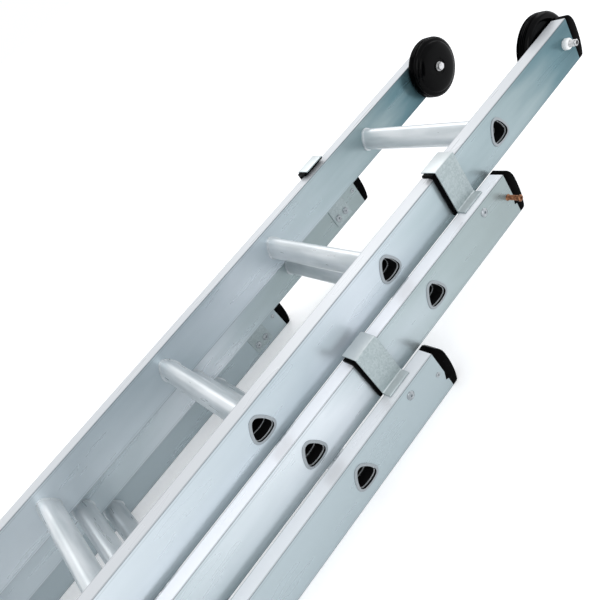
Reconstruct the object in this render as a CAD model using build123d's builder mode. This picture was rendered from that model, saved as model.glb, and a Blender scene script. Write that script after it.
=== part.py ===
from build123d import *
from dataclasses import dataclass
from math import hypot
import os

# Three-section push-up extension ladder, lying on the back faces of its base section.
# X runs across the rungs, Y up the ladder, Z from the wide base section to the narrow top one.

# Stiles
stile_depth = 72.0
stile_width = 25.5
stile_wall = 1.8
stile_corner = 1.0

# Rungs
rung_count = 8
rung_pitch = 280.0
rung_axis_depth = 34.5  # from the front face of the stile
rung_core_tip = 9.4  # the rung's outline is a small bowed triangle grown by its corner radius
rung_core_half_height = 9.0
rung_core_back = 8.0
rung_core_bow = 1.2
rung_corner = 9.0
rung_wall = 1.7
rung_fit = 0.12  # gap round the rung in the stile's hole
rung_lip_grow = 2.4
rung_lip_proud = 1.3
rung_collar_grow = 1.8
rung_collar_width = 3.0
rung_bead_width = 1.4
rung_bead_height = 0.7
rung_bead_depths = (4.0, 25.0)  # from the rung's end

# How the three sections stand against each other
top_half_width = 163.0
nest_overlap = 6.5  # how far a stile reaches into the depth of the one behind
top_lead = 275.0  # top end of the top section above that of the middle one
middle_lead = 278.0
top_rung_drop = 214.0  # top end of a section down to its first rung
middle_rung_drop = 200.5
base_rung_drop = 182.0
base_end_margin = 308.0  # lowest base rung down to the stile's lower end

# End caps, plugs and feet
cap_shoulder = 9.0  # height of the cap at the stile's front face
cap_crown = 18.0
cap_crown_depth = 27.0
cap_heel = 11.5
cap_heel_margin = 2.5
cap_back = 3.0
cap_edge = 0.9
cap_tab_front = 41.0  # snap tab in the outer wall, measured from the stile's front face
cap_tab_point = 53.0
cap_tab_back = 55.0
cap_tab_drop = 4.6
lower_plug_flange = 4.0
plug_depth = 30.0
plug_fit = 0.2
foot_height = 24.0
foot_groove = 3.0
foot_groove_count = 5
foot_pin_rise = 20.0

# Guide brackets and their liners
guide_sheet = 2.0
guide_length = 43.0
guide_drop = 59.0  # middle of the bracket below the stile's top end
guide_plate_margin = 8.0  # back edge of the plate to the stile's back face
guide_lip_width = 29.0
guide_foot_width = 14.0
guide_foot_sheet = 3.5
guide_bend = 3.0
liner_sheet = 5.0
liner_side_clearance = 0.4  # between the liner and the rung lips that pass it
liner_front_clearance = 4.0
liner_lip_width = 23.0
liner_upper_overhang = 1.0
liner_lower_overhang = 5.0
guide_rivet_spacing = 21.0
guide_rivet_margin = 21.5
outer_rivet_depth = 15.5
outer_rivet_drop = 61.0

# Rivets and the stop screw
rivet_radius = 3.2
rivet_head_radius = 6.8
rivet_head_height = 2.2
rivet_hole_fit = 0.1
rivet_bulb = 4.2
rivet_bulb_length = 5.0
cap_pin_radius = 2.5
cap_pin_head_radius = 3.8
cap_pin_head_height = 1.0
cap_pin_depth = 34.0
cap_pin_drop = 10.5
stop_screw_radius = 3.5
stop_screw_proud = 24.0
stop_screw_head_radius = 5.0
stop_screw_head_height = 4.0

# Wall wheels
wheel_radius = 54.0
wheel_width = 32.0
wheel_setback = 20.5  # axle below the stile's top end
wheel_axle_depth = 31.0
wheel_rim_width = 28.0
wheel_edge = 7.0
wheel_groove_count = 5
wheel_groove_radius = 0.9
wheel_bore_fit = 0.08
hub_radius = 15.0
axle_radius = 5.0
axle_washer_radius = 11.0
axle_gap = 2.0  # stile's inner face to the wheel
axle_side_play = 0.4
axle_head_across = 17.0
axle_head_height = 5.5
axle_end_proud = 21.0
axle_end_bore = 3.0
axle_end_bore_depth = 5.0
axle_end_chamfer = 1.0
nylon_nut_radius = 8.7
nylon_nut_length = 9.4

# Rung latches
pawl_reach = 76.0
pawl_seat_gap = 0.3
pawl_thickness = 8.0
pawl_hub_radius = 11.0
pawl_arm_half_width = 6.0
pawl_tip_half_width = 14.0
pawl_tip_height = 18.0
latch_plate_sheet = 3.0
latch_plate_length = 84.0
latch_plate_front_depth = 8.0
latch_plate_back_margin = 18.5
latch_plate_corner = 8.0
latch_pin_radius = 5.0
latch_pin_fit = 0.06
fixed_pin_fit = 0.02
latch_pin_head_radius = 8.5
latch_pin_head_height = 3.0
latch_side_play = 0.4
spring_wire = 1.5
spring_turns = 2
spring_radius = 7.2
spring_room = 6.2
stop_pin_radius = 2.5
stop_pin_reach = 12.0
stop_pin_gap = 0.3
latch_rivet_front = 22.0


@dataclass
class Section:
    name: str
    half_width: float
    front_z: float
    top_y: float
    first_rung_drop: float

    @property
    def inner_x(self):
        return self.half_width - stile_width

    @property
    def back_z(self):
        return self.front_z - stile_depth

    @property
    def rung_z(self):
        return self.front_z - rung_axis_depth

    @property
    def bottom_y(self):
        return self.top_y - section_length

    def rung_y(self, number):
        return self.top_y - self.first_rung_drop - (number - 1) * rung_pitch


side_gap = rung_lip_proud + liner_side_clearance + liner_sheet + guide_sheet
side_step = stile_width + side_gap
depth_step = stile_depth - nest_overlap
section_length = base_rung_drop + (rung_count - 1) * rung_pitch + base_end_margin
top_overhang = max(wheel_radius - wheel_setback, cap_crown)
base_top_y = (section_length + foot_height - middle_lead - top_lead - top_overhang) / 2

base = Section("base", top_half_width + 2 * side_step, stile_depth, base_top_y, base_rung_drop)
middle = Section(
    "middle",
    top_half_width + side_step,
    base.front_z + depth_step,
    base.top_y + middle_lead,
    middle_rung_drop,
)
top = Section(
    "top",
    top_half_width,
    middle.front_z + depth_step,
    middle.top_y + top_lead,
    top_rung_drop,
)
sides = {"left": -1, "right": 1}

os.makedirs("parts", exist_ok=True)


def save(part, label):
    part.label = label
    export_step(part, f"parts/{label}.step")


def rung_core_points():
    tip = (0, rung_core_tip)
    high = (rung_core_half_height, -rung_core_back)
    low = (-rung_core_half_height, -rung_core_back)
    return tip, high, low


def bowed_side(start, end):
    # Arc between two corners of the core, bowed away from the core's middle.
    middle_x = (start[0] + end[0]) / 2
    middle_y = (start[1] + end[1]) / 2
    across = (end[1] - start[1], start[0] - end[0])
    length = hypot(*across)
    bowed = (
        middle_x - across[0] / length * rung_core_bow,
        middle_y - across[1] / length * rung_core_bow,
    )
    ThreePointArc(start, bowed, end)


def rung_outline(plane, grow):
    # Rounded triangle: one corner to the front, a nearly flat side to the back.
    tip, high, low = rung_core_points()
    with BuildSketch(plane) as outline:
        with BuildLine():
            bowed_side(tip, high)
            bowed_side(high, low)
            bowed_side(low, tip)
        make_face()
        offset(amount=grow, kind=Kind.ARC)
    return outline.sketch


def rung_plane(x, y, z):
    return Plane(origin=(x, y, z), x_dir=(0, 1, 0), z_dir=(1, 0, 0))


def slab(side, near, thickness, sketch, mode=Mode.ADD):
    # Extrude a sketch drawn on the plane X = 0 so that it fills |X| from near to near + thickness.
    start = side * near
    extrude(sketch.moved(Location((start, 0, 0))), amount=thickness, dir=(side, 0, 0), mode=mode)


def disc(y, z, radius):
    with BuildSketch(rung_plane(0, y, z)) as round_sketch:
        Circle(radius)
    return round_sketch.sketch


def rod(side, near, length, y, z, radius, mode=Mode.ADD):
    slab(side, near, length, disc(y, z, radius), mode)


def stile_inside(section, fit):
    # The hollow of a stile, less the fit of a plug that fills it.
    width = stile_width - 2 * stile_wall - 2 * fit
    depth = stile_depth - 2 * stile_wall - 2 * fit
    return width, depth


def stile_plane(section, side, y, up):
    centre_x = side * (section.half_width - stile_width / 2)
    centre_z = section.front_z - stile_depth / 2
    return Plane(origin=(centre_x, y, centre_z), x_dir=(1, 0, 0), z_dir=(0, up, 0))


# Where the fasteners go
def guide_rivet_places(section):
    middle_y = section.top_y - guide_drop
    z = section.back_z + guide_rivet_margin
    half = guide_rivet_spacing / 2
    return [(middle_y - half, z), (middle_y + half, z)]


def outer_rivet_place(section):
    return section.top_y - outer_rivet_drop, section.front_z - outer_rivet_depth


def cap_pin_place(section):
    return section.top_y - cap_pin_drop, section.front_z - cap_pin_depth


def foot_pin_place():
    return base.bottom_y + foot_pin_rise, base.front_z - stile_depth / 2


def axle_place():
    return top.top_y - wheel_setback, top.front_z - wheel_axle_depth


def behind_of(section):
    return middle if section is top else base


def latch_frame(section):
    # The pivot stands square off the sloping face of the lowest rung of the section behind, so
    # that the rung's push runs straight through the pin. Returns the pivot and that direction.
    behind = behind_of(section)
    tip, high, low = rung_core_points()
    along = (high[0] - tip[0], high[1] - tip[1])
    length = hypot(*along)
    normal = (-along[1] / length, along[0] / length)
    seat = rung_corner + rung_core_bow + pawl_reach
    pivot_y = behind.rung_y(rung_count) + (tip[0] + high[0]) / 2 + normal[0] * seat
    pivot_z = behind.rung_z + (tip[1] + high[1]) / 2 + normal[1] * seat
    return pivot_y, pivot_z, normal


def along_pawl(section, down, back):
    # A point down the pawl's arm from its pivot, and back from the arm's middle line.
    pivot_y, pivot_z, normal = latch_frame(section)
    y = pivot_y - normal[0] * down + normal[1] * back
    z = pivot_z - normal[1] * down - normal[0] * back
    return y, z


def stop_pin_place(section):
    back = pawl_arm_half_width + stop_pin_gap + stop_pin_radius
    return along_pawl(section, stop_pin_reach, back)


def latch_rivet_places(section):
    pivot_y, pivot_z, normal = latch_frame(section)
    z = section.front_z - latch_rivet_front
    spread = latch_plate_length / 2 - latch_plate_corner - rivet_head_radius
    return [(pivot_y - spread, z), (pivot_y + spread, z)]


# Stiles: square-cut box tubes with holes for the rungs and the fasteners
def make_stile(section, side):
    with BuildPart() as stile:
        with BuildSketch(stile_plane(section, side, section.bottom_y, 1)):
            RectangleRounded(stile_width, stile_depth, stile_corner)
            Rectangle(*stile_inside(section, 0), mode=Mode.SUBTRACT)
        extrude(amount=section_length)
        for number in range(1, rung_count + 1):
            plane = rung_plane(0, section.rung_y(number), section.rung_z)
            hole = rung_outline(plane, rung_corner + rung_fit)
            slab(side, section.inner_x, stile_width, hole, Mode.SUBTRACT)
        inner_rivets = [] if section is top else guide_rivet_places(section)
        inner_rivets += [] if section is base else latch_rivet_places(section)
        for y, z in inner_rivets:
            rod(side, section.inner_x, stile_wall, y, z, rivet_radius + rivet_hole_fit, Mode.SUBTRACT)
        if section is top:
            y, z = axle_place()
            rod(side, section.inner_x, stile_width, y, z, axle_radius + rivet_hole_fit, Mode.SUBTRACT)
        else:
            y, z = outer_rivet_place(section)
            wall_x = section.half_width - stile_wall
            rod(side, wall_x, stile_wall, y, z, rivet_radius + rivet_hole_fit, Mode.SUBTRACT)
            y, z = cap_pin_place(section)
            radius = cap_fixing_radius(section, side) + rivet_hole_fit
            rod(side, section.inner_x, stile_width, y, z, radius, Mode.SUBTRACT)
            slab(side, wall_x, stile_wall, cap_tab(section, 0), Mode.SUBTRACT)
        if section is base:
            y, z = foot_pin_place()
            rod(side, section.inner_x, stile_width, y, z, cap_pin_radius + rivet_hole_fit, Mode.SUBTRACT)
    return stile.part


def cap_fixing_radius(section, side):
    return stop_screw_radius if section is middle and side > 0 else cap_pin_radius


def cap_tab(section, fit):
    # The saw-tooth tab of a cap, which snaps into a notch in the stile's outer wall.
    with BuildSketch(rung_plane(0, section.top_y, section.front_z)) as tab:
        with BuildLine():
            Polyline(
                (0, -cap_tab_front - fit),
                (-cap_tab_drop + fit, -cap_tab_point),
                (0, -cap_tab_back + fit),
                close=True,
            )
        make_face()
    return tab.sketch


# Rungs: tubes through both stiles, collared inside and flared outside
def make_rung(section, number):
    y = section.rung_y(number)
    plane = rung_plane(0, y, section.rung_z)
    reach = section.half_width + rung_lip_proud
    bore = rung_corner - rung_wall
    with BuildPart() as rung:
        extrude(rung_outline(plane, rung_corner), amount=reach, both=True)
        for side in sides.values():
            lip = rung_outline(plane, rung_corner + rung_lip_grow)
            slab(side, section.half_width, rung_lip_proud, lip)
            collar = rung_outline(plane, rung_corner + rung_collar_grow)
            slab(side, section.inner_x - rung_collar_width, rung_collar_width, collar)
        lip_edges = rung.edges().filter_by(Axis.X, reverse=True).group_by(Axis.X)
        fillet(lip_edges[0] + lip_edges[-1], rung_lip_proud * 0.7)
        extrude(rung_outline(plane, bore), amount=reach, both=True, mode=Mode.SUBTRACT)
        for side in sides.values():
            for depth in rung_bead_depths:
                near = reach - depth - rung_bead_width
                slab(side, near, rung_bead_width, rung_outline(plane, bore + rung_wall / 2))
                bead_bore = rung_outline(plane, bore - rung_bead_height)
                slab(side, near, rung_bead_width, bead_bore, Mode.SUBTRACT)
    return rung.part


# End caps: plugs in the stiles' top ends with a domed crown
def make_cap(section, side):
    with BuildPart() as cap:
        middle_x = side * (section.half_width - stile_width / 2)
        with BuildSketch(rung_plane(middle_x, section.top_y, section.front_z)) as crown:
            with BuildLine():
                heel = (cap_heel, cap_heel_margin - stile_depth)
                Polyline(heel, (cap_back, -stile_depth), (0, -stile_depth), (0, 0), (cap_shoulder, 0))
                Spline((cap_shoulder, 0), (cap_crown, -cap_crown_depth), heel)
            make_face()
        extrude(crown.sketch, amount=stile_width / 2, both=True)
        fillet(cap.edges().filter_by(GeomType.BSPLINE), cap_edge)
        add_plug(section, side, section.top_y, -1)
        if section is top:
            y, z = axle_place()
            radius = axle_radius + rivet_hole_fit
        else:
            slab(side, section.half_width - stile_wall, stile_wall, cap_tab(section, plug_fit))
            y, z = cap_pin_place(section)
            radius = cap_fixing_radius(section, side) + rivet_hole_fit
        rod(side, section.inner_x, stile_width, y, z, radius, Mode.SUBTRACT)
    return cap.part


def add_plug(section, side, y, up):
    with BuildSketch(stile_plane(section, side, y, up)) as hollow:
        Rectangle(*stile_inside(section, plug_fit))
    extrude(hollow.sketch, amount=plug_depth)


def make_lower_plug(section, side):
    # A plug with a flat flange in a stile's lower end.
    with BuildPart() as plug:
        with BuildSketch(stile_plane(section, side, section.bottom_y, -1)):
            RectangleRounded(stile_width, stile_depth, stile_corner)
        extrude(amount=lower_plug_flange)
        fillet(plug.faces().sort_by(Axis.Y)[0].edges(), stile_corner * 0.9)
        add_plug(section, side, section.bottom_y, 1)
    return plug.part


# Rubber feet, grooved underneath and pinned in the base stiles
def make_foot(side):
    groove_step = stile_depth / (foot_groove_count + 1)
    with BuildPart() as foot:
        with BuildSketch(stile_plane(base, side, base.bottom_y, -1)):
            RectangleRounded(stile_width, stile_depth, stile_corner)
        extrude(amount=foot_height)
        with BuildSketch(stile_plane(base, side, base.bottom_y - foot_height, 1)):
            with GridLocations(0, groove_step, 1, foot_groove_count):
                Rectangle(stile_width, foot_groove)
        extrude(amount=foot_groove, mode=Mode.SUBTRACT)
        add_plug(base, side, base.bottom_y, 1)
        y, z = foot_pin_place()
        rod(side, base.inner_x, stile_width, y, z, cap_pin_radius + rivet_hole_fit, Mode.SUBTRACT)
    return foot.part


# Guide brackets: a riveted plate whose leg and lip hold the stile in front
def guide_levels(section):
    upper_front = section.front_z + depth_step
    lip_inside = upper_front + liner_front_clearance + liner_sheet
    return lip_inside, lip_inside + guide_sheet


def make_guide(section, side):
    lip_inside, lip_outside = guide_levels(section)
    outer_x = section.inner_x
    inner_x = outer_x - guide_sheet
    back_z = section.back_z + guide_plate_margin
    outline = [
        (inner_x, back_z),
        (outer_x, back_z),
        (outer_x, section.front_z),
        (outer_x + guide_foot_width, section.front_z),
        (outer_x + guide_foot_width, section.front_z + guide_foot_sheet),
        (outer_x, section.front_z + guide_foot_sheet),
        (outer_x, lip_outside),
        (outer_x - guide_lip_width, lip_outside),
        (outer_x - guide_lip_width, lip_inside),
        (inner_x, lip_inside),
    ]
    start_y = section.top_y - guide_drop + guide_length / 2
    with BuildPart() as guide:
        with BuildSketch(Plane.XZ.offset(-start_y)) as profile:
            with BuildLine():
                Polyline([(side * x, z) for x, z in outline], close=True)
            make_face()
            bend = profile.vertices().sort_by_distance((side * outer_x, lip_outside))[0]
            fillet(bend, guide_bend)
            hem = (side * (outer_x + guide_foot_width), section.front_z + guide_foot_sheet)
            fillet(profile.vertices().sort_by_distance(hem)[0], guide_foot_sheet / 2)
        extrude(amount=guide_length)
        for y, z in guide_rivet_places(section):
            rod(side, inner_x, guide_sheet, y, z, rivet_radius + rivet_hole_fit, Mode.SUBTRACT)
    return guide.part


def make_liner(section, side):
    lip_inside, lip_outside = guide_levels(section)
    outer_x = section.inner_x - guide_sheet
    inner_x = outer_x - liner_sheet
    lip_x = outer_x - liner_lip_width
    outline = [
        (outer_x, section.front_z),
        (outer_x, lip_inside),
        (lip_x, lip_inside),
        (lip_x, lip_inside - liner_sheet),
        (inner_x, lip_inside - liner_sheet),
        (inner_x, section.front_z),
    ]
    start_y = section.top_y - guide_drop + guide_length / 2 + liner_upper_overhang
    with BuildPart() as liner:
        with BuildSketch(Plane.XZ.offset(-start_y)):
            with BuildLine():
                Polyline([(side * x, z) for x, z in outline], close=True)
            make_face()
        extrude(amount=guide_length + liner_upper_overhang + liner_lower_overhang)
    return liner.part


# Blind rivets: domed head, shank and the bulb behind the wall
def make_rivet(side, head_x, facing, y, z, grip):
    # facing is 1 when the head looks away from the ladder's middle and -1 when it looks in.
    with BuildPart() as rivet:
        head_start = head_x if facing > 0 else head_x - rivet_head_height
        rod(side, head_start, rivet_head_height, y, z, rivet_head_radius)
        outer_ring = rivet.edges().filter_by(GeomType.CIRCLE).sort_by(Axis.X)
        fillet(outer_ring[-1] if side * facing > 0 else outer_ring[0], rivet_head_height * 0.8)
        shank_start = head_x - grip if facing > 0 else head_x
        rod(side, shank_start, grip, y, z, rivet_radius)
        bulb_start = head_x - grip - rivet_bulb_length if facing > 0 else head_x + grip
        rod(side, bulb_start, rivet_bulb_length, y, z, rivet_bulb)
    return rivet.part


def make_cross_pin(section, side, y, z):
    # A pin through a whole stile with a low head on each face.
    with BuildPart() as pin:
        rod(side, section.inner_x, stile_width, y, z, cap_pin_radius)
        rod(side, section.inner_x - cap_pin_head_height, cap_pin_head_height, y, z, cap_pin_head_radius)
        rod(side, section.half_width, cap_pin_head_height, y, z, cap_pin_head_radius)
    return pin.part


def make_stop_screw():
    y, z = cap_pin_place(middle)
    shank = stile_width + stop_screw_proud - stop_screw_head_height
    head_x = middle.inner_x + shank
    with BuildPart() as screw:
        rod(1, middle.inner_x, shank, y, z, stop_screw_radius)
        rod(1, head_x, stop_screw_head_height, y, z, stop_screw_head_radius)
        fillet(screw.edges().filter_by(GeomType.CIRCLE).sort_by(Axis.X)[-1], stop_screw_head_height * 0.6)
    return screw.part


# Wall wheels, turning on bolts through the top section's stiles
def make_wheel(side):
    y, z = axle_place()
    start = top.inner_x - axle_gap
    with BuildPart() as wheel:
        with BuildSketch(Plane(origin=(0, y, z), x_dir=(-side, 0, 0), z_dir=(0, side, 0))) as profile:
            with Locations((-start + wheel_rim_width / 2, wheel_radius / 2)):
                Rectangle(wheel_rim_width, wheel_radius)
            fillet(profile.vertices().group_by(Axis.Y)[-1], wheel_edge)
            with BuildLine():
                Line((-start + wheel_rim_width, 0), (-start + wheel_width, 0))
                Line((-start + wheel_width, 0), (-start + wheel_width, hub_radius))
                rim = (-start + wheel_rim_width, wheel_radius - wheel_edge)
                Line((-start + wheel_width, hub_radius), rim)
                Line(rim, (-start + wheel_rim_width, 0))
            make_face()
            with Locations((-start + wheel_rim_width / 2, wheel_radius)):
                tread = wheel_rim_width - 2 * wheel_edge
                with GridLocations(tread / (wheel_groove_count - 1), 0, wheel_groove_count, 1):
                    Circle(wheel_groove_radius, mode=Mode.SUBTRACT)
            with Locations((-start + wheel_width / 2, 0)):
                Rectangle(wheel_width * 2, 2 * (axle_radius + wheel_bore_fit), mode=Mode.SUBTRACT)
        revolve(axis=Axis((0, y, z), (1, 0, 0)))
    return wheel.part


def make_axle(side):
    y, z = axle_place()
    head_x = top.inner_x - axle_gap - wheel_width - axle_side_play
    end_x = top.half_width + axle_end_proud
    with BuildPart() as axle:
        rod(side, head_x, end_x - head_x, y, z, axle_radius)
        ends = axle.edges().filter_by(GeomType.CIRCLE).sort_by(Axis.X)
        chamfer(ends[-1] if side > 0 else ends[0], axle_end_chamfer)
        with BuildSketch(rung_plane(0, y, z)) as head:
            RegularPolygon(axle_head_across / 2, 6, major_radius=False)
        slab(side, head_x - axle_head_height, axle_head_height, head.sketch)
        rod(side, end_x - axle_end_bore_depth, axle_end_bore_depth, y, z, axle_end_bore, Mode.SUBTRACT)
    return axle.part


def make_ring(side, near, length, radius, y, z, bore, edge):
    with BuildPart() as ring:
        rod(side, near, length, y, z, radius)
        if edge:
            rims = ring.edges().filter_by(GeomType.CIRCLE).sort_by(Axis.X)
            fillet(rims[-1] if side > 0 else rims[0], edge)
        rod(side, near, length, y, z, bore, Mode.SUBTRACT)
    return ring.part


# Rung latches: sprung pawls that stand on the lowest rung of the section behind
def latch_levels(section):
    # |X| of the plate's free face, and of the pawl's outer and inner faces
    plate_x = section.inner_x - latch_plate_sheet
    pawl_outer = plate_x - spring_room - latch_side_play
    return plate_x, pawl_outer, pawl_outer - pawl_thickness


def make_latch_plate(section, side):
    pivot_y, pivot_z, normal = latch_frame(section)
    plate_x, pawl_outer, pawl_inner = latch_levels(section)
    front_z = section.front_z - latch_plate_front_depth
    back_z = pivot_z - latch_plate_back_margin
    with BuildPart() as plate:
        with BuildSketch(rung_plane(0, pivot_y, (front_z + back_z) / 2)) as face:
            RectangleRounded(latch_plate_length, front_z - back_z, latch_plate_corner)
        slab(side, plate_x, latch_plate_sheet, face.sketch)
        holes = [(y, z, rivet_radius + rivet_hole_fit) for y, z in latch_rivet_places(section)]
        holes.append((pivot_y, pivot_z, latch_pin_radius + fixed_pin_fit))
        holes.append((*stop_pin_place(section), stop_pin_radius + fixed_pin_fit))
        for y, z, radius in holes:
            rod(side, plate_x, latch_plate_sheet, y, z, radius, Mode.SUBTRACT)
    return plate.part


def make_pawl(section, side):
    pivot_y, pivot_z, normal = latch_frame(section)
    plate_x, pawl_outer, pawl_inner = latch_levels(section)
    reach = pawl_reach - pawl_seat_gap
    arm_start = pawl_hub_radius / 2
    edge_reach = (reach**2 - pawl_tip_half_width**2) ** 0.5
    shoulder = reach - pawl_tip_height
    corners = [
        (arm_start, -pawl_arm_half_width),
        (shoulder - pawl_tip_height, -pawl_arm_half_width),
        (shoulder, -pawl_tip_half_width),
        (edge_reach, -pawl_tip_half_width),
        (reach, 0),
        (edge_reach, pawl_tip_half_width),
        (shoulder, pawl_tip_half_width),
        (shoulder - pawl_tip_height, pawl_arm_half_width),
        (arm_start, pawl_arm_half_width),
    ]
    points = [along_pawl(section, down, back) for down, back in corners]
    with BuildSketch(rung_plane(0, 0, 0)) as outline:
        with BuildLine():
            Polyline(points[:4])
            ThreePointArc(points[3], points[4], points[5])
            Polyline(points[5:] + points[:1])
        make_face()
        with Locations((pivot_y, pivot_z)):
            Circle(pawl_hub_radius)
            Circle(latch_pin_radius + latch_pin_fit, mode=Mode.SUBTRACT)
    with BuildPart() as pawl:
        slab(side, pawl_inner, pawl_thickness, outline.sketch)
    return pawl.part


def make_latch_pins(section, side):
    pivot_y, pivot_z, normal = latch_frame(section)
    plate_x, pawl_outer, pawl_inner = latch_levels(section)
    head_x = pawl_inner - latch_side_play
    with BuildPart() as pivot:
        rod(side, head_x, section.inner_x - head_x, pivot_y, pivot_z, latch_pin_radius)
        head_start = head_x - latch_pin_head_height
        rod(side, head_start, latch_pin_head_height, pivot_y, pivot_z, latch_pin_head_radius)
    with BuildPart() as stop:
        y, z = stop_pin_place(section)
        rod(side, pawl_inner, section.inner_x - pawl_inner, y, z, stop_pin_radius)
    return [pivot.part, stop.part]


def make_spring(section, side):
    # Torsion coil round the pivot pin, between the plate and the pawl.
    pivot_y, pivot_z, normal = latch_frame(section)
    plate_x, pawl_outer, pawl_inner = latch_levels(section)
    coil_height = spring_room - spring_wire - latch_side_play
    start_x = side * (plate_x - spring_wire / 2 - latch_side_play / 2)
    with BuildPart() as spring:
        with BuildLine() as path:
            coil = Helix(
                coil_height / spring_turns,
                coil_height,
                spring_radius,
                center=(start_x, pivot_y, pivot_z),
                direction=(-side, 0, 0),
            )
        with BuildSketch(Plane(origin=path.line @ 0, z_dir=path.line % 0)):
            Circle(spring_wire / 2)
        sweep(path=path.line)
    return spring.part


# Every piece, section by section
for section in (base, middle, top):
    for side_name, side in sides.items():
        save(make_stile(section, side), f"{section.name}_stile_{side_name}")
    for number in range(1, rung_count + 1):
        save(make_rung(section, number), f"{section.name}_rung_{number}")

for section in (base, middle, top):
    caps = [make_cap(section, side) for side in sides.values()]
    if section is not base:
        caps += [make_lower_plug(section, side) for side in sides.values()]
    save(Compound(children=caps), f"{section.name}_end_caps")

for section in (base, middle):
    for side_name, side in sides.items():
        save(make_guide(section, side), f"{section.name}_guide_{side_name}")
    liners = [make_liner(section, side) for side in sides.values()]
    save(Compound(children=liners), f"{section.name}_guide_liners")

for side_name, side in sides.items():
    save(make_foot(side), f"base_foot_{side_name}")
    save(make_wheel(side), f"wheel_{side_name}")
    for section in (middle, top):
        save(make_pawl(section, side), f"{section.name}_pawl_{side_name}")

for section in (base, middle, top):
    rivets = []
    for side in sides.values():
        if section is not top:
            plate_x = section.inner_x - guide_sheet
            grip = guide_sheet + stile_wall
            for y, z in guide_rivet_places(section):
                rivets.append(make_rivet(side, plate_x, -1, y, z, grip))
            y, z = outer_rivet_place(section)
            rivets.append(make_rivet(side, section.half_width, 1, y, z, stile_wall))
            if cap_fixing_radius(section, side) == cap_pin_radius:
                rivets.append(make_cross_pin(section, side, *cap_pin_place(section)))
        if section is not base:
            plate_x = section.inner_x - latch_plate_sheet
            grip = latch_plate_sheet + stile_wall
            for y, z in latch_rivet_places(section):
                rivets.append(make_rivet(side, plate_x, -1, y, z, grip))
        if section is base:
            rivets.append(make_cross_pin(base, side, *foot_pin_place()))
    save(Compound(children=rivets), f"{section.name}_rivets")

save(make_stop_screw(), "stop_screw")

axle_parts = []
nuts = []
axle_y, axle_z = axle_place()
for side in sides.values():
    axle_parts.append(make_axle(side))
    spacer_x = top.inner_x - axle_gap + axle_side_play
    spacer_length = axle_gap - axle_side_play
    bore = axle_radius + fixed_pin_fit
    axle_parts.append(
        make_ring(side, spacer_x, spacer_length, axle_washer_radius, axle_y, axle_z, bore, 0)
    )
    nuts.append(
        make_ring(side, top.half_width, nylon_nut_length, nylon_nut_radius, axle_y, axle_z, bore, 1.5)
    )
save(Compound(children=axle_parts), "wheel_axles")
save(Compound(children=nuts), "axle_nuts")

for section in (middle, top):
    plates = [make_latch_plate(section, side) for side in sides.values()]
    save(Compound(children=plates), f"{section.name}_latch_plates")
    pins = [pin for side in sides.values() for pin in make_latch_pins(section, side)]
    save(Compound(children=pins), f"{section.name}_latch_pins")
    springs = [make_spring(section, side) for side in sides.values()]
    save(Compound(children=springs), f"{section.name}_latch_springs")
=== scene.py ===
import bpy
from math import cos, pi, radians, sin
from mathutils import Matrix, Vector


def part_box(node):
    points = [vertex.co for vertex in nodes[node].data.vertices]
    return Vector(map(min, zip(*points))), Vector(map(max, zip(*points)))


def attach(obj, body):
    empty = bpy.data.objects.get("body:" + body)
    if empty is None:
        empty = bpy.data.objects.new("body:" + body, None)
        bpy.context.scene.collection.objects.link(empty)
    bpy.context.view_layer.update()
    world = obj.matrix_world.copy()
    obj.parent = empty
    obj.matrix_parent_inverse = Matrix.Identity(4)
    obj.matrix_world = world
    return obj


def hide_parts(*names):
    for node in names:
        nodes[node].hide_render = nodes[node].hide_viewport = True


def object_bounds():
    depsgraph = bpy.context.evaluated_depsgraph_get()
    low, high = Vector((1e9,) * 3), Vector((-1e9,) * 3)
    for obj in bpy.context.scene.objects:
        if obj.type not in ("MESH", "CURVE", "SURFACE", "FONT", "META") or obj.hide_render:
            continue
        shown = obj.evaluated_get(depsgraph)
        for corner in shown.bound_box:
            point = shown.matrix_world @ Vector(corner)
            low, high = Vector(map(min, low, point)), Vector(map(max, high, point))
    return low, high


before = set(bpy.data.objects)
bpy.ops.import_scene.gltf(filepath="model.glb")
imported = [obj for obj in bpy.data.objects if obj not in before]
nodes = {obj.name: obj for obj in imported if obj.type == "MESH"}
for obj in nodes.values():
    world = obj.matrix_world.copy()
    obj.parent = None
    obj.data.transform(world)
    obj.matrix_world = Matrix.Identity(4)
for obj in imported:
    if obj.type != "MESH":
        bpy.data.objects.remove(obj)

scene = bpy.context.scene
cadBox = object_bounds()
print("frame loaded")


def readSection(name):
    low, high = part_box(name + "_stile_right")
    rungLow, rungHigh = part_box(name + "_rung_1")
    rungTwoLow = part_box(name + "_rung_2")[0]
    return {
        "name": name,
        "inner": low.x,
        "outer": high.x,
        "front": high.z,
        "back": low.z,
        "top": high.y,
        "bottom": low.y,
        "rungY": (rungLow.y + rungHigh.y) / 2,
        "rungZ": (rungLow.z + rungHigh.z) / 2,
        "pitch": rungLow.y - rungTwoLow.y,
    }


sections = {name: readSection(name) for name in ("base", "middle", "top")}


# Small helpers for modelling
def deselectAll():
    if bpy.context.mode != "OBJECT":
        bpy.ops.object.mode_set(mode="OBJECT")
    bpy.ops.object.select_all(action="DESELECT")


def makeActive(piece):
    deselectAll()
    piece.select_set(True)
    bpy.context.view_layer.objects.active = piece


def applyPlace(piece):
    makeActive(piece)
    bpy.ops.object.transform_apply(location=True, rotation=True, scale=True)


def startPoint(name, place):
    # a plane merged to one vertex, ready to be drawn out
    deselectAll()
    bpy.ops.mesh.primitive_plane_add(size=0.01, location=place)
    piece = bpy.context.object
    piece.name = name
    piece.data.name = name
    applyPlace(piece)
    bpy.ops.object.mode_set(mode="EDIT")
    bpy.ops.mesh.select_mode(type="VERT")
    bpy.ops.mesh.select_all(action="SELECT")
    bpy.ops.mesh.merge(type="CENTER")
    return piece


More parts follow.
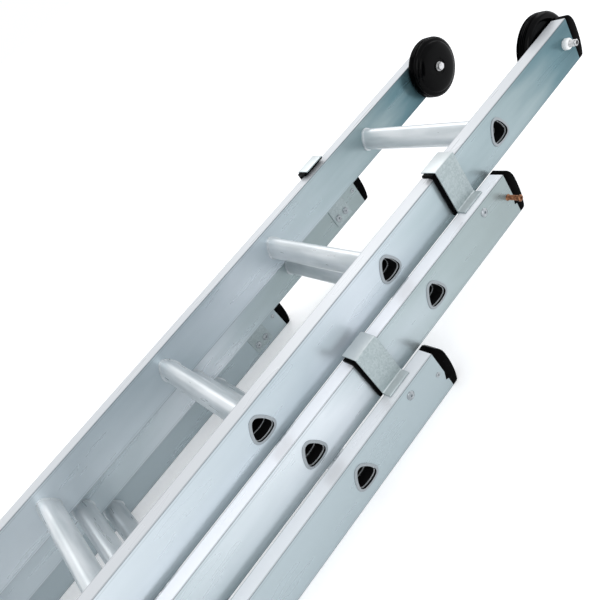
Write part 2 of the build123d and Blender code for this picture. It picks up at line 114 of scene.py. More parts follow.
def drawLine(points):
    for start, end in zip(points, points[1:]):
        step = Vector(end) - Vector(start)
        bpy.ops.mesh.extrude_vertices_move(TRANSFORM_OT_translate={"value": step})


def closeUp(piece):
    bpy.ops.mesh.select_all(action="SELECT")
    bpy.ops.mesh.remove_doubles(threshold=0.00001)
    bpy.ops.mesh.normals_make_consistent(inside=False)
    bpy.ops.object.mode_set(mode="OBJECT")
    return piece


def turnedPiece(name, profile, centre, side, steps):
    # profile: (distance along X from the centre, radius) in metres, turned about an X axis
    centre = Vector(centre)
    points = [centre + Vector((side * along, 0, radius)) for along, radius in profile]
    piece = startPoint(name, points[0])
    drawLine(points)
    bpy.ops.mesh.select_all(action="SELECT")
    bpy.ops.mesh.spin(steps=steps, angle=2 * pi, center=centre, axis=(1, 0, 0))
    return closeUp(piece)


def foldedPiece(name, outline, start, length, along):
    # outline: closed list of points across; along: the direction it is drawn out in
    points = [Vector(start) + Vector(point) for point in outline]
    piece = startPoint(name, points[0])
    drawLine(points)
    bpy.ops.mesh.select_all(action="SELECT")
    bpy.ops.mesh.edge_face_add()
    bpy.ops.mesh.extrude_region_move(
        TRANSFORM_OT_translate={"value": Vector(along) * length}
    )
    return closeUp(piece)


def addBevel(piece, width, segments=3, angle=35):
    makeActive(piece)
    bevel = piece.modifiers.new("edges", "BEVEL")
    bevel.width = width
    bevel.segments = segments
    bevel.limit_method = "ANGLE"
    bevel.angle_limit = radians(angle)
    bevel.use_clamp_overlap = True
    bpy.ops.object.modifier_apply(modifier=bevel.name)


def smooth(piece, angle=32):
    makeActive(piece)
    bpy.ops.object.shade_smooth_by_angle(angle=radians(angle))


def copyPiece(piece, name, move=(0, 0, 0), mirrored=False):
    copy = piece.copy()
    copy.data = piece.data.copy()
    copy.name = name
    copy.data.name = name
    scene.collection.objects.link(copy)
    place = Matrix.Translation(Vector(move))
    if mirrored:
        place = Matrix.Scale(-1, 4, (1, 0, 0)) @ place
    copy.data.transform(place)
    if mirrored:
        makeActive(copy)
        bpy.ops.object.mode_set(mode="EDIT")
        bpy.ops.mesh.select_all(action="SELECT")
        bpy.ops.mesh.flip_normals()
        bpy.ops.object.mode_set(mode="OBJECT")
    return copy


def joinPieces(pieces, name):
    deselectAll()
    for piece in pieces:
        piece.select_set(True)
    bpy.context.view_layer.objects.active = pieces[0]
    if len(pieces) > 1:
        bpy.ops.object.join()
    pieces[0].name = name
    pieces[0].data.name = name
    return pieces[0]


def arcPoints(centre, radius, startAngle, endAngle, count):
    points = []
    for step in range(count + 1):
        angle = radians(startAngle + (endAngle - startAngle) * step / count)
        points.append((centre[0] + radius * cos(angle), centre[1] + radius * sin(angle)))
    return points


def setFinish(piece, material):
    piece.data.materials.clear()
    piece.data.materials.append(material)


# Materials
def newMaterial(name, colour, roughness, metallic=0.0):
    material = bpy.data.materials.new(name)
    material.use_nodes = True
    shader = material.node_tree.nodes["Principled BSDF"]
    shader.inputs["Base Color"].default_value = (*colour, 1)
    shader.inputs["Roughness"].default_value = roughness
    shader.inputs["Metallic"].default_value = metallic
    return material, material.node_tree, shader


def addNode(tree, kind, inputs=None, **settings):
    node = tree.nodes.new(kind)
    for key, value in settings.items():
        setattr(node, key, value)
    for key, value in (inputs or {}).items():
        if isinstance(value, bpy.types.NodeSocket):
            tree.links.new(value, node.inputs[key])
        else:
            node.inputs[key].default_value = value
    return node


def sumUp(tree, operation, first, second, third=None):
    inputs = {0: first, 1: second}
    if third is not None:
        inputs[2] = third
    return addNode(tree, "ShaderNodeMath", inputs, operation=operation).outputs[0]


def objectPlace(tree):
    place = addNode(tree, "ShaderNodeTexCoord").outputs["Object"]
    parts = addNode(tree, "ShaderNodeSeparateXYZ", {0: place})
    return place, parts.outputs[0], parts.outputs[1], parts.outputs[2]


def scaled(tree, place, scale):
    return addNode(tree, "ShaderNodeMapping", {"Vector": place, "Scale": scale}).outputs[0]


def noise(tree, place, scale, detail=2.0, roughness=0.5, stretch=(1, 1, 1)):
    vector = scaled(tree, place, stretch)
    inputs = {"Vector": vector, "Scale": scale, "Detail": detail, "Roughness": roughness}
    return addNode(tree, "ShaderNodeTexNoise", inputs).outputs[0]


def ramp(tree, value, stops):
    node = addNode(tree, "ShaderNodeValToRGB", {0: value})
    elements = node.color_ramp.elements
    while len(elements) < len(stops):
        elements.new(0.5)
    for element, (position, colour) in zip(elements, stops):
        element.position = position
        element.color = (*colour, 1) if len(colour) == 3 else colour
    return node.outputs[0]


def spread(tree, value, low, high, newLow, newHigh):
    inputs = {0: value, 1: low, 2: high, 3: newLow, 4: newHigh}
    return addNode(tree, "ShaderNodeMapRange", inputs).outputs[0]


def mixColour(tree, factor, first, second, blend="MIX"):
    node = addNode(tree, "ShaderNodeMix", data_type="RGBA", blend_type=blend)
    for key, value in ((0, factor), (6, first), (7, second)):
        if isinstance(value, bpy.types.NodeSocket):
            tree.links.new(value, node.inputs[key])
        else:
            node.inputs[key].default_value = value if key == 0 else (*value, 1)
    return node.outputs[2]


def bump(tree, shader, height, strength, distance):
    inputs = {"Height": height, "Strength": strength, "Distance": distance}
    node = addNode(tree, "ShaderNodeBump", inputs)
    tree.links.new(node.outputs[0], shader.inputs["Normal"])


# painted reflection and shade along each section's sides, as colour bands from the free end down:
# (share of the reach, colour)
stileLook = {
    "reach": 1.1,
    "sides": {
        "base": [(0.0, (0.37, 0.44, 0.465)), (0.3, (0.40, 0.47, 0.50)), (1.0, (0.43, 0.50, 0.53))],
        "middle": [
            (0.0, (0.30, 0.36, 0.365)),
            (0.16, (0.35, 0.42, 0.43)),
            (0.30, (0.46, 0.53, 0.56)),
            (0.42, (0.66, 0.71, 0.75)),
            (0.60, (0.50, 0.57, 0.60)),
            (1.0, (0.56, 0.62, 0.66)),
        ],
        "top": [
            (0.0, (0.05, 0.12, 0.145)),
            (0.08, (0.10, 0.19, 0.22)),
            (0.17, (0.26, 0.34, 0.36)),
            (0.32, (0.42, 0.50, 0.53)),
            (0.52, (0.56, 0.62, 0.67)),
            (0.68, (0.44, 0.51, 0.55)),
            (1.0, (0.62, 0.68, 0.72)),
        ],
    },
    # painted light: a lighter colour for the faces turned to the front, a lit or shaded copy per
    # section
    "frontsPaintedLight": {"base": (0.76, 0.78, 0.81), "middle": (0.95, 0.96, 1.0), "top": (0.55, 0.57, 0.595)},
    # painted shade used on the rounded corners, the edge lines and the bead
    "corner": (0.10, 0.12, 0.13),
    "edgeShadeLine": 0.0012,
    "bead": 0.0046,
    "beadWidth": 0.0008,
    "roughness": (0.26, 0.34),
    "metallic": 0.55,
}


def stileMaterial(section):
    look = stileLook
    material, tree, shader = newMaterial(
        section["name"] + "StileAluminium", (0.5, 0.5, 0.5), 0.3, look["metallic"]
    )
    place, x, y, z = objectPlace(tree)
    cloud = noise(tree, place, 1.0, 3.0, 0.5, (9, 3.2, 18))
    streaks = noise(tree, place, 1.0, 1.0, 0.5, (90, 1.2, 90))
    grain = noise(tree, place, 1.0, 2.0, 0.5, (60, 8, 60))
    fromEnd = sumUp(tree, "SUBTRACT", section["top"], y)
    fromEnd = sumUp(tree, "DIVIDE", fromEnd, look["reach"])
    fromEnd = sumUp(tree, "ADD", fromEnd, spread(tree, cloud, 0.3, 0.7, -0.07, 0.07))
    # painted reflection and shade: the sides take their colour bands along the length
    colour = ramp(tree, fromEnd, look["sides"][section["name"]])
    shade = spread(tree, streaks, 0.30, 0.70, 0.0, 0.02)
    colour = mixColour(tree, shade, colour, (0.30, 0.34, 0.36))
    # painted light: faces turned to the front take the lighter colour set per section
    normal = addNode(tree, "ShaderNodeNewGeometry").outputs["Normal"]
    facing = addNode(tree, "ShaderNodeSeparateXYZ", {0: normal}).outputs[2]
    front = spread(tree, facing, 0.6, 0.9, 0.0, 1.0)
    colour = mixColour(tree, front, colour, look["frontsPaintedLight"][section["name"]])
    # painted shade on the rounded corners between front and side
    corner = sumUp(tree, "COMPARE", facing, 0.42, 0.30)
    colour = mixColour(tree, sumUp(tree, "MULTIPLY", corner, 0.75), colour, look["corner"])
    metal = spread(tree, front, 0.0, 1.0, look["metallic"], 0.15)
    tree.links.new(metal, shader.inputs["Metallic"])
    depth = sumUp(tree, "SUBTRACT", section["front"], z)
    fromBack = sumUp(tree, "SUBTRACT", z, section["back"])
    nearest = sumUp(tree, "MINIMUM", depth, fromBack)
    # a painted shade line just round the corner of each face, and a shallow bead beside it with
    # painted shade in its groove
    toSide = sumUp(tree, "SUBTRACT", sumUp(tree, "ABSOLUTE", x, 0.0), section["inner"])
    fromOuter = sumUp(tree, "SUBTRACT", section["outer"], sumUp(tree, "ABSOLUTE", x, 0.0))
    acrossEdge = sumUp(tree, "MINIMUM", toSide, fromOuter)
    edge = sumUp(tree, "ADD", nearest, acrossEdge)
    edge = sumUp(tree, "ABSOLUTE", sumUp(tree, "SUBTRACT", edge, look["edgeShadeLine"]), 0.0)
    edge = spread(tree, edge, 0.0, look["beadWidth"], 0.6, 0.0)
    colour = mixColour(tree, edge, colour, look["corner"])
    # painted shade in the bead's groove, beside a small bump
    bead = sumUp(tree, "ABSOLUTE", sumUp(tree, "SUBTRACT", nearest, look["bead"]), 0.0)
    bead = spread(tree, bead, 0.0, look["beadWidth"], 1.0, 0.0)
    colour = mixColour(tree, sumUp(tree, "MULTIPLY", bead, 0.30), colour, (0.16, 0.20, 0.22))
    tree.links.new(colour, shader.inputs["Base Color"])
    rough = spread(tree, grain, 0.3, 0.7, *look["roughness"])
    tree.links.new(rough, shader.inputs["Roughness"])
    bump(tree, shader, sumUp(tree, "MULTIPLY", bead, -1.0), 0.25, 0.0003)
    return material


rungLook = {
    "dark": (0.56, 0.60, 0.62),
    "light": (0.70, 0.73, 0.75),
    "lipPaintedShade": (0.30, 0.33, 0.35),
    # painted shade inside the tube
    "bore": (0.004, 0.004, 0.005),
    "beads": (0.0040, 0.0250),
    "beadWidth": 0.0014,
    "lip": 0.0013,
    "streakShare": 0.3,
    "boreRoughness": 0.4,
}


def rungMaterial(section):
    look = rungLook
    material, tree, shader = newMaterial(
        section["name"] + "RungAluminium", look["light"], 0.3, 0.5
    )
    place, x, y, z = objectPlace(tree)
    streaks = noise(tree, place, 1.0, 1.0, 0.5, (3, 90, 90))
    patches = noise(tree, place, 1.0, 2.0, 0.5, (12, 60, 60))
    streaks = sumUp(tree, "MULTIPLY", streaks, look["streakShare"])
    patches = sumUp(tree, "MULTIPLY", patches, 1 - look["streakShare"])
    shade = sumUp(tree, "ADD", streaks, patches)
    colour = ramp(tree, shade, [(0.38, look["dark"]), (0.60, look["light"])])
    # the wall that faces the rung's own axis is its bore, painted near black as the shade inside
    # the tube
    half = section["pitch"] / 2
    across = sumUp(tree, "WRAP", sumUp(tree, "SUBTRACT", y, section["rungY"]), half, -half)
    up = sumUp(tree, "SUBTRACT", z, section["rungZ"])
    normal = addNode(tree, "ShaderNodeNewGeometry").outputs["Normal"]
    facing = addNode(tree, "ShaderNodeSeparateXYZ", {0: normal})
    outward = sumUp(
        tree,
        "ADD",
        sumUp(tree, "MULTIPLY", across, facing.outputs[1]),
        sumUp(tree, "MULTIPLY", up, facing.outputs[2]),
    )
    bore = sumUp(tree, "LESS_THAN", outward, -0.0005)
    acrossSide = sumUp(tree, "ABSOLUTE", x, 0.0)
    fromEnd = sumUp(tree, "SUBTRACT", section["outer"] + look["lip"], acrossSide)
    for bead in look["beads"]:
        apart = sumUp(tree, "SUBTRACT", fromEnd, bead + look["beadWidth"] / 2)
        apart = sumUp(tree, "ABSOLUTE", apart, 0.0)
        beyond = sumUp(tree, "GREATER_THAN", apart, look["beadWidth"] * 0.6)
        bore = sumUp(tree, "MULTIPLY", bore, beyond)
    # painted shade: the flared lip at the rung's end is darkened
    lip = sumUp(tree, "LESS_THAN", fromEnd, look["lip"] + 0.0002)
    colour = mixColour(tree, lip, colour, look["lipPaintedShade"])
    colour = mixColour(tree, bore, colour, look["bore"])
    tree.links.new(colour, shader.inputs["Base Color"])
    grain = noise(tree, place, 1.0, 2.0, 0.5, (12, 90, 90))
    rough = spread(tree, grain, 0.3, 0.7, 0.26, 0.40)
    rough = sumUp(tree, "ADD", rough, sumUp(tree, "MULTIPLY", bore, look["boreRoughness"]))
    tree.links.new(rough, shader.inputs["Roughness"])
    bump(tree, shader, grain, 0.02, 0.0002)
    return material


spangleLook = {
    "cells": 420.0,
    "warp": 0.004,
    "shades": [(0.0, (0.31, 0.37, 0.38)), (0.5, (0.36, 0.42, 0.43)), (1.0, (0.42, 0.48, 0.49))],
    # painted light on the faces turned to the front
    "front": (0.62, 0.65, 0.66),
    "frontLightShare": 0.75,
    "roughness": (0.34, 0.52),
}


def spangleMaterial():
    look = spangleLook
    material, tree, shader = newMaterial("galvanisedSheet", (0.52, 0.54, 0.55), 0.4, 0.6)
    place, x, y, z = objectPlace(tree)
    warp = addNode(
        tree,
        "ShaderNodeTexNoise",
        {"Vector": place, "Scale": 300.0, "Detail": 2.0},
    ).outputs["Color"]
    inputs = {0: warp, 1: [look["warp"]] * 3}
    bent = addNode(tree, "ShaderNodeVectorMath", inputs, operation="MULTIPLY").outputs[0]
    inputs = {0: place, 1: bent}
    bent = addNode(tree, "ShaderNodeVectorMath", inputs, operation="ADD").outputs[0]
    inputs = {"Vector": bent, "Scale": look["cells"]}
    cells = addNode(tree, "ShaderNodeTexVoronoi", inputs).outputs["Color"]
    value = addNode(tree, "ShaderNodeSeparateColor", {0: cells}).outputs[0]
    colour = ramp(tree, value, look["shades"])
    # painted light: the faces turned to the front are given a lighter colour
    normal = addNode(tree, "ShaderNodeNewGeometry").outputs["Normal"]
    facing = addNode(tree, "ShaderNodeSeparateXYZ", {0: normal}).outputs[2]
    front = spread(tree, facing, 0.55, 0.9, 0.0, look["frontLightShare"])
    colour = mixColour(tree, front, colour, look["front"])
    tree.links.new(colour, shader.inputs["Base Color"])
    tree.links.new(spread(tree, value, 0.0, 1.0, *look["roughness"]), shader.inputs["Roughness"])
    fine = noise(tree, place, 900.0, 3.0, 0.6)
    bump(tree, shader, sumUp(tree, "ADD", fine, sumUp(tree, "MULTIPLY", value, 0.4)), 0.25, 0.0002)
    return material


def grainyMaterial(name, look):
    # a plain finish with a little mottling and grain
    roughness, scale = look["roughness"], look["scale"]
    material, tree, shader = newMaterial(name, look["light"], roughness, look["metallic"])
    shader.inputs["Specular IOR Level"].default_value = look["specular"]
    place, x, y, z = objectPlace(tree)
    mottle = noise(tree, place, scale, 3.0, 0.55)
    colour = ramp(tree, mottle, [(0.35, look["dark"]), (0.65, look["light"])])
    tree.links.new(colour, shader.inputs["Base Color"])
    grain = noise(tree, place, scale * 9, 2.0, 0.6)
    rough = spread(tree, grain, 0.3, 0.7, roughness - 0.06, roughness + 0.06)
    tree.links.new(rough, shader.inputs["Roughness"])
    bump(tree, shader, grain, look["grain"], 0.0002)
    return material


stileFinishes = {name: stileMaterial(section) for name, section in sections.items()}
rungFinishes = {name: rungMaterial(section) for name, section in sections.items()}
galvanised = spangleMaterial()
plainLooks = {
    "blackPlastic": {
        "dark": (0.0005, 0.0005, 0.0006),
        "light": (0.0012, 0.0012, 0.0014),
        "roughness": 0.24,
        "metallic": 0.0,
        "specular": 0.015,
        "scale": 90.0,
        "grain": 0.06,
    },
    "footRubber": {
        "dark": (0.006, 0.006, 0.006),
        "light": (0.012, 0.012, 0.012),
        "roughness": 0.60,
        "metallic": 0.0,
        "specular": 0.25,
        "scale": 110.0,
        "grain": 0.25,
    },
    "tyreRubber": {
        "dark": (0.0005, 0.0006, 0.0007),
        "light": (0.0012, 0.0013, 0.0015),
        "roughness": 0.15,
        "metallic": 0.0,
        "specular": 0.06,
        "scale": 80.0,
        "grain": 0.05,
    },
    "rivetAluminium": {
        "dark": (0.26, 0.29, 0.31),
        "light": (0.44, 0.47, 0.49),
        "roughness": 0.26,
        "metallic": 0.85,
        "specular": 0.5,
        "scale": 160.0,
        "grain": 0.06,
    },
    "copperPlating": {
        "dark": (0.13, 0.055, 0.030),
        "light": (0.40, 0.19, 0.10),
        "roughness": 0.34,
        "metallic": 0.85,
        "specular": 0.5,
        "scale": 260.0,
        "grain": 0.10,
    },
    "zincSteel": {
        "dark": (0.45, 0.45, 0.45),
        "light": (0.66, 0.66, 0.67),
        "roughness": 0.28,
        "metallic": 0.9,
        "specular": 0.5,
        "scale": 200.0,
        "grain": 0.06,
    },
    "whiteNylon": {
        "dark": (0.74, 0.75, 0.76),
        "light": (0.86, 0.86, 0.86),
        "roughness": 0.40,
        "metallic": 0.0,
        "specular": 0.5,
        "scale": 120.0,
        "grain": 0.06,
    },
    "springSteel": {
        "dark": (0.34, 0.34, 0.35),
        "light": (0.52, 0.52, 0.53),
        "roughness": 0.26,
        "metallic": 0.9,
        "specular": 0.5,
        "scale": 300.0,
        "grain": 0.05,
    },
}
finishes = {name: grainyMaterial(name, look) for name, look in plainLooks.items()}
blackPlastic, tyreRubber = finishes["blackPlastic"], finishes["tyreRubber"]
rivetMetal, copper = finishes["rivetAluminium"], finishes["copperPlating"]
zinc, nylon = finishes["zincSteel"], finishes["whiteNylon"]

for name, node in nodes.items():
    sectionName = name.split("_")[0]
    if "_stile_" in name:
        setFinish(node, stileFinishes[sectionName])
    elif "_rung_" in name:
        setFinish(node, rungFinishes[sectionName])
    elif "guide_liners" in name or "caps" in name:
        setFinish(node, blackPlastic)
    elif "foot" in name:
        setFinish(node, finishes["footRubber"])
    elif "spring" in name:
        setFinish(node, finishes["springSteel"])
    elif "pins" in name or "axles" in name:
        setFinish(node, zinc)
    elif "rivets" in name:
        setFinish(node, rivetMetal)
    elif name.startswith("wheel_"):
        setFinish(node, tyreRubber)
    elif name == "axle_nuts":
        setFinish(node, nylon)
    elif name == "stop_screw":
        setFinish(node, copper)
    else:
        setFinish(node, galvanised)
print("materials set")

# Wall wheels: wide ribbed tyre, domed inner face, recessed hub
wheel = {
    "rimShare": 0.80,
    "shoulder": 0.008,
    "grooves": 5,
    "grooveWidth": 0.0016,
    "grooveDepth": 0.0016,
    "hub": 0.0150,
    "recess": 0.0014,
    "bore": 0.0051,
    "steps": 96,
}


def tyreProfile(width, radius):
    # from the bore's outer end round the tread to the bore's inner end
    shoulder = wheel["shoulder"]
    rim = width * wheel["rimShare"]
    profile = [(0, wheel["bore"]), (0, 0.0135), (0.0010, 0.0150), (0.0010, radius * 0.70)]
    profile += [(0.0004, radius * 0.76), (0, radius - shoulder)]
    profile += arcPoints((shoulder, radius - shoulder), shoulder, 165, 105, 6)
    tread = rim - 2 * shoulder
    pitch = (tread + shoulder * 0.9) / wheel["grooves"]
    for number in range(wheel["grooves"]):
        middle = shoulder - shoulder * 0.3 + pitch * (number + 0.5)
        half = wheel["grooveWidth"] / 2
        drop = max(0.0, abs(middle - rim / 2) - tread / 2) * 0.25
        profile += [
            (middle - half * 1.6, radius - drop),
            (middle - half, radius - drop - wheel["grooveDepth"]),
            (middle + half, radius - drop - wheel["grooveDepth"]),
            (middle + half * 1.6, radius - drop),
        ]
    profile += arcPoints((rim - shoulder, radius - shoulder), shoulder, 66, 12, 6)
    edge = (rim, radius - shoulder)
    profile.append(edge)
    for step in range(1, 13):
        turn = radians(90 * step / 12)
        domeRadius = wheel["hub"] + (edge[1] - wheel["hub"]) * cos(turn)
        profile.append((edge[0] + (width - rim) * sin(turn), domeRadius))
    floorOfHub = width - wheel["recess"]
    profile += [(floorOfHub, wheel["hub"] - 0.001), (floorOfHub, wheel["bore"]), (0, wheel["bore"])]
    return profile


low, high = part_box("wheel_right")
wheelRadius = (high.y - low.y) / 2
wheelCentre = Vector((high.x, (low.y + high.y) / 2, (low.z + high.z) / 2))
profile = tyreProfile(high.x - low.x, wheelRadius)
wheelRight = turnedPiece("wheelRight", profile, wheelCentre, -1, wheel["steps"])
smooth(wheelRight, 38)
setFinish(wheelRight, tyreRubber)
wheelLeft = copyPiece(wheelRight, "wheelLeft", mirrored=True)
for piece, node in ((wheelRight, "wheel_right"), (wheelLeft, "wheel_left")):
    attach(piece, node)
    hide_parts(node)
print("wheels made")

# Wheel bolts: hexagon head with a washer inside, hollow end outside, white nylon nut
bolt = {
    "across": 0.0130,
    "headHeight": 0.0055,
    "washer": 0.0082,
    "washerThickness": 0.0014,
    "radius": 0.0050,
    "endHole": 0.0031,
    "endDepth": 0.0050,
    "spacerRadius": 0.0110,
    "turns": 7,
    "pitch": 0.00125,
    "thread": 0.0005,
    "threadFall": 0.0006,
    "threadRise": 0.0012,
    "threadLength": 0.0105,
    "nut": 0.0087,
    "nutBore": 0.0052,
    "nutDome": (0.0035, 0.0026),
}
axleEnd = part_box("wheel_axles")[1].x
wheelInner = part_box("wheel_right")[0].x
headBase = wheelInner + wheel["recess"] - 0.0002
hexPoints = []
for step in range(6):
    angle = radians(60 * step)
    reach = bolt["across"] / 2 / cos(radians(30))
    hexPoints.append((0, reach * cos(angle), reach * sin(angle)))
head = foldedPiece(
    "boltHead",
    hexPoints,
    (headBase - bolt["washerThickness"], wheelCentre.y, wheelCentre.z),
    bolt["headHeight"],
    (-1, 0, 0),
)
addBevel(head, 0.0009, 3)
smooth(head, 30)
washer = turnedPiece(
    "boltWasher",
    [
        (0, 0.0),
        (0, bolt["washer"]),
        (0.0004, bolt["washer"] + 0.0003),
        (bolt["washerThickness"] - 0.0004, bolt["washer"] + 0.0003),
        (bolt["washerThickness"], bolt["washer"]),
        (bolt["washerThickness"], 0.0),
    ],
    (headBase, wheelCentre.y, wheelCentre.z),
    -1,
    40,
)
smooth(washer, 40)
stem = axleEnd - headBase
shank = [(0, 0), (0, bolt["radius"])]
threadStart = stem - bolt["threadLength"]
for number in range(bolt["turns"]):
    start = threadStart + number * bolt["pitch"]
    shank += [(start, bolt["radius"])]
    shank += [(start + bolt["threadFall"], bolt["radius"] - bolt["thread"])]
    shank += [(start + bolt["threadRise"], bolt["radius"])]
shank += [
    (stem - 0.0010, bolt["radius"]),
    (stem, bolt["radius"] - 0.0009),
    (stem, bolt["endHole"]),
    (stem - bolt["endDepth"], bolt["endHole"] - 0.0004),
    (stem - bolt["endDepth"], 0),
]
stemPiece = turnedPiece("boltStem", shank, (headBase, wheelCentre.y, wheelCentre.z), 1, 40)
smooth(stemPiece, 40)
spacerLow = wheelCentre.x + 0.0004
spacerLength = sections["top"]["inner"] - spacerLow
spacer = turnedPiece(
    "boltSpacer",
    [
        (0, bolt["radius"]),
        (0, bolt["spacerRadius"] - 0.0003),
        (0.0003, bolt["spacerRadius"]),
        (spacerLength, bolt["spacerRadius"]),
        (spacerLength, bolt["radius"]),
    ],
    (spacerLow, wheelCentre.y, wheelCentre.z),
    1,
    40,
)
smooth(spacer, 40)
boltRight = joinPieces([head, washer, stemPiece, spacer], "wheelBoltRight")
setFinish(boltRight, zinc)
boltLeft = copyPiece(boltRight, "wheelBoltLeft", mirrored=True)
for piece in (boltRight, boltLeft):
    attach(piece, "top")
    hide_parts("wheel_axles")

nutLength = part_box("axle_nuts")[1].x - sections["top"]["outer"]
nutProfile = [(0, bolt["nutBore"]), (0, bolt["nut"] - 0.0004), (0.0006, bolt["nut"])]
domeLength, domeDrop = bolt["nutDome"]
nutProfile += [(nutLength - domeLength, bolt["nut"])]
for step in range(1, 7):
    turn = radians(90 * step / 6)
    along = nutLength - domeLength + domeLength * sin(turn)
    nutProfile.append((along, bolt["nut"] - domeDrop + domeDrop * cos(turn)))
nutProfile += [(nutLength, bolt["nutBore"])]
nutStart = (sections["top"]["outer"], wheelCentre.y, wheelCentre.z)
nutRight = turnedPiece("nylonNutRight", nutProfile, nutStart, 1, 48)
smooth(nutRight, 40)
setFinish(nutRight, nylon)
nutLeft = copyPiece(nutRight, "nylonNutLeft", mirrored=True)
for piece in (nutRight, nutLeft):
    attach(piece, "top")
    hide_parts("axle_nuts")
print("bolts and nuts made")

# End caps: moulded black plugs with a domed crown
cap = {
    "crown": [(0.0, 0.0090), (0.003, 0.0118), (0.008, 0.0152), (0.014, 0.0173), (0.021, 0.0181)],
    "crownBack": [
        (0.030, 0.0181),
        (0.040, 0.0176),
        (0.050, 0.0165),
        (0.060, 0.0144),
        (0.067, 0.0122),
        (0.0705, 0.0105),
    ],
    "heel": [(0.0718, 0.0080), (0.0720, 0.0030), (0.0720, 0.0)],
    "tab": [(0.0410, 0.0), (0.0530, -0.0046), (0.0550, 0.0)],
    "tabProud": 0.0003,
    "edge": 0.0011,
    "lowerFlange": 0.0040,
}


def capPiece(name, section):
    # the crown's outline across the stile's depth, drawn out across its width
    outline = [(0, 0, 0)]
    for depth, height in cap["crown"] + cap["crownBack"] + cap["heel"]:
        outline.append((0, height, -depth))
    width = section["outer"] - section["inner"]
    start = (section["inner"], section["top"], section["front"])
    crown = foldedPiece(name, outline, start, width, (1, 0, 0))
    addBevel(crown, cap["edge"], 3, 40)
    return crown


def capTab(name, section):
    outline = [(0, height, -depth) for depth, height in cap["tab"]]
    start = (section["outer"] - 0.001, section["top"] + 0.0001, section["front"])
    tab = foldedPiece(name, outline, start, 0.001 + cap["tabProud"], (1, 0, 0))
    return tab


def lowerPlug(name, section):
    low, high = section["bottom"] - cap["lowerFlange"], section["bottom"]
    outline = [
        (0, low - high, 0),
        (0, 0, 0),
        (0, 0, section["back"] - section["front"]),
        (0, low - high, section["back"] - section["front"]),
    ]
    start = (section["inner"], high, section["front"])
    plug = foldedPiece(name, outline, start, section["outer"] - section["inner"], (1, 0, 0))
    addBevel(plug, 0.0012, 3)
    return plug


for name, section in sections.items():
    parts = [capPiece(name + "CapRight", section)]
    if name != "top":
        parts.append(capTab(name + "CapTab", section))
    if name != "base":
        parts.append(lowerPlug(name + "LowerPlug", section))
    right = joinPieces(parts, name + "CapsRight")
    smooth(right, 38)
    setFinish(right, blackPlastic)
    left = copyPiece(right, name + "CapsLeft", mirrored=True)
    for piece in (right, left):
        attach(piece, name)
        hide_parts(name + "_end_caps")
print("caps made")

# Guide brackets: folded galvanised sheet with a lip over the next section and a short foot
bracket = {
    "sheet": 0.0020,
    "bend": 0.0024,
    "edge": 0.00035,
    "footSheet": 0.0035,
    "footTip": 0.0008,
    "footCorner": 0.0009,
    "footBend": 0.0012,
}
seatGap = 0.0001


def bracketPiece(name, section):
    nodeLow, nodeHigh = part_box(name)
    sheet = bracket["sheet"]
    outer, inner = section["inner"], section["inner"] - sheet
    front, lip = section["front"], nodeHigh.z
    footX, footTop = nodeHigh.x, front + bracket["footSheet"]
    tip, corner, inside = bracket["footTip"], bracket["footCorner"], bracket["footBend"]
    lipX = nodeLow.x
    bend = bracket["bend"]
    outline = [(inner, nodeLow.z), (outer, nodeLow.z), (outer, front + seatGap)]
    # the foot: out along the front face and back
    outline += [(footX - tip, front + seatGap), (footX, front + corner)]
    outline += [(footX, footTop - corner), (footX - tip, footTop)]
    outline += [(outer + inside, footTop), (outer, footTop + inside)]
    for x, z in arcPoints((outer - bend, lip - bend), bend, 0, 90, 6):
        outline.append((x, z))
    outline += [(lipX, lip), (lipX, lip - sheet)]
    for x, z in arcPoints((outer - bend, lip - bend), bend - sheet, 90, 0, 4):
        outline.append((x, z))
    outline = [(x, 0, z) for x, z in outline]
    length = nodeHigh.y - nodeLow.y
    piece = foldedPiece(name + "Sheet", outline, (0, nodeLow.y, 0), length, (0, 1, 0))
    addBevel(piece, bracket["edge"], 2, 50)
    smooth(piece, 35)
    return piece


for name in ("base", "middle"):
    section = sections[name]
    right = bracketPiece(name + "_guide_right", section)
    right.name = name + "BracketRight"
    setFinish(right, galvanised)
    left = copyPiece(right, name + "BracketLeft", mirrored=True)
    for piece, side in ((right, "right"), (left, "left")):
        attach(piece, name)
        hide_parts(name + "_guide_" + side)


liner = {
    "sheet": 0.0050,
    "lip": 0.0230,
    "lipCorner": 0.0010,
    "bendOutside": 0.0015,
    "bendInside": 0.0020,
    "edge": 0.0006,
}


def linerPiece(name, section):
    nodeLow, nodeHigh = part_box(name)
    outer, lipTop = nodeHigh.x, nodeHigh.z
    inner, lipUnder = outer - liner["sheet"], lipTop - liner["sheet"]
    lipX = outer - liner["lip"]
    corner, outside, inside = liner["lipCorner"], liner["bendOutside"], liner["bendInside"]
    start = section["front"] + seatGap
    outline = [(outer, start), (outer, lipTop - outside), (outer - outside, lipTop)]
    outline += [(lipX + corner, lipTop), (lipX, lipTop - corner), (lipX, lipUnder + corner)]
    outline += [(lipX + corner, lipUnder), (inner - inside, lipUnder)]
    outline += [(inner, lipUnder - inside), (inner, start)]
    outline = [(x, 0, z) for x, z in outline]
    piece = foldedPiece(name, outline, (0, nodeLow.y, 0), nodeHigh.y - nodeLow.y, (0, 1, 0))
    addBevel(piece, liner["edge"], 2, 40)
    smooth(piece, 35)
    return piece


for name in ("base", "middle"):
    right = linerPiece(name + "_guide_liners", sections[name])
    right.name = name + "LinerRight"
    setFinish(right, blackPlastic)
    left = copyPiece(right, name + "LinerLeft", mirrored=True)
    for piece in (right, left):
        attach(piece, name)
        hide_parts(name + "_guide_liners")
print("brackets and liners made")

# Rivets: domed heads with the mandrel's hole, and low-headed cross pins
rivet = {"radius": 0.0068, "height": 0.0022, "hole": 0.0017, "steps": 28}
pin = {"radius": 0.0038, "height": 0.0010, "dimple": 0.0012}


